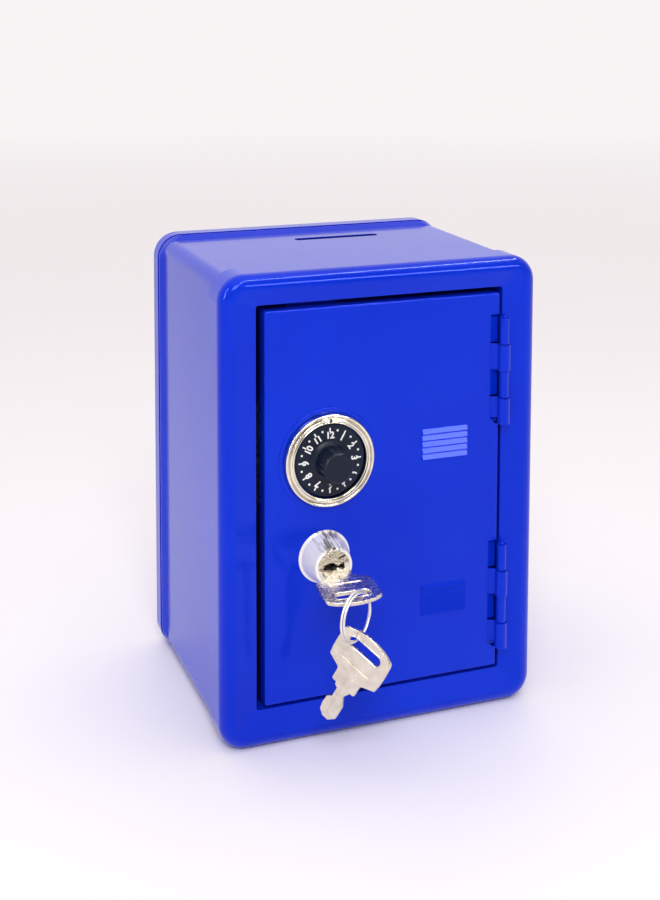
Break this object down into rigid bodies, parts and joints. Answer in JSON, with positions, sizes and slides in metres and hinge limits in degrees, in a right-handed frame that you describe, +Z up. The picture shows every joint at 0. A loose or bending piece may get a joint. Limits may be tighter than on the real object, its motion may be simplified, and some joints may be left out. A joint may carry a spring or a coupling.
{
  "type": "tin money box",
  "caption": "Tin money box shaped like a small safe: hinged door with a turning combination dial, a key lock with keys on a ring, and a coin slot in the top.",
  "frame": {"origin": "centre of the bottom of the bounding box (keys included), on the plane that the case stands on", "axes": "+Z up, the front with the door faces -Y, +X to the right of someone facing the front"},
  "size_m": [0.129, 0.146, 0.18],
  "materials": {
    "blue_enamel": "glossy enamel",
    "nickel_plate": "polished plating",
    "key_nickel": "stamped, plated",
    "ring_steel": "plated spring wire",
    "dial_plastic": "black with white numbers",
    "zinc_steel": "zinc plated",
    "rivet_metal": "plain",
    "brass_washer": "plain"
  },
  "bodies": {
    "case": {"body_shell": "blue_enamel", "front_frame": "blue_enamel", "back_panel": "blue_enamel", "hinge_frame_leaf_lower": "blue_enamel", "hinge_frame_leaf_upper": "blue_enamel", "hinge_pin_lower": "blue_enamel", "hinge_pin_upper": "blue_enamel"},
    "door": {"door_panel": "blue_enamel", "hinge_door_leaf_lower": "blue_enamel", "hinge_door_leaf_upper": "blue_enamel", "dial_ring": "nickel_plate", "wheel_pack_plate": "zinc_steel", "plate_rivets": "rivet_metal", "wheel_washer": "brass_washer", "lock_barrel": "nickel_plate", "lock_nut": "zinc_steel"},
    "dial": {"combination_dial": "dial_plastic", "dial_spindle": "zinc_steel", "drive_wheel": "zinc_steel", "spindle_nut": "zinc_steel"},
    "wheel_1": {"combination_wheel_1": "zinc_steel"},
    "wheel_2": {"combination_wheel_2": "zinc_steel"},
    "plug": {"lock_plug": "nickel_plate", "lock_cam": "zinc_steel", "cam_screw": "zinc_steel"},
    "key": {"key_in_lock": "key_nickel"},
    "ring": {"key_ring": "ring_steel"},
    "spare_key": {"spare_key": "key_nickel"}
  },
  "joints": [
    {"name": "door_swing", "type": "hinge", "parent": "case", "child": "door", "pos_m": [0.0495, -0.03152, 0.09], "axis": [0, 0, 1], "range_deg": [0, 120]},
    {"name": "dial_turn", "type": "hinge", "parent": "door", "child": "dial", "pos_m": [-0.0225, -0.03082, 0.1083], "axis": [0, 1, 0], "continuous": true},
    {"name": "wheel_1_turn", "type": "hinge", "parent": "door", "child": "wheel_1", "pos_m": [-0.0225, -0.01942, 0.1083], "axis": [0, 1, 0], "continuous": true},
    {"name": "wheel_2_turn", "type": "hinge", "parent": "door", "child": "wheel_2", "pos_m": [-0.0225, -0.01682, 0.1083], "axis": [0, 1, 0], "continuous": true},
    {"name": "lock_turn", "type": "hinge", "parent": "door", "child": "plug", "pos_m": [-0.024, -0.03952, 0.0708], "axis": [0, 1, 0], "range_deg": [0, 90]},
    {"name": "key_slide", "type": "slide", "parent": "plug", "child": "key", "axis": [0, -0.9925, -0.1219], "range_m": [0, 0.022]},
    {"name": "ring_turn", "type": "hinge", "parent": "key", "child": "ring", "pos_m": [-0.024, -0.06178, 0.06126], "axis": [-0.5736, 0.8192, 0], "continuous": true},
    {"name": "spare_key_swing", "type": "hinge", "parent": "key", "child": "spare_key", "pos_m": [-0.024, -0.06178, 0.06126], "axis": [-0.5736, 0.8192, 0], "range_deg": [-20, 20]}
  ],
  "couplings": [
    {"joint": "wheel_1_turn", "follows": "dial_turn", "ratio": 1},
    {"joint": "wheel_2_turn", "follows": "dial_turn", "ratio": 1}
  ]
}
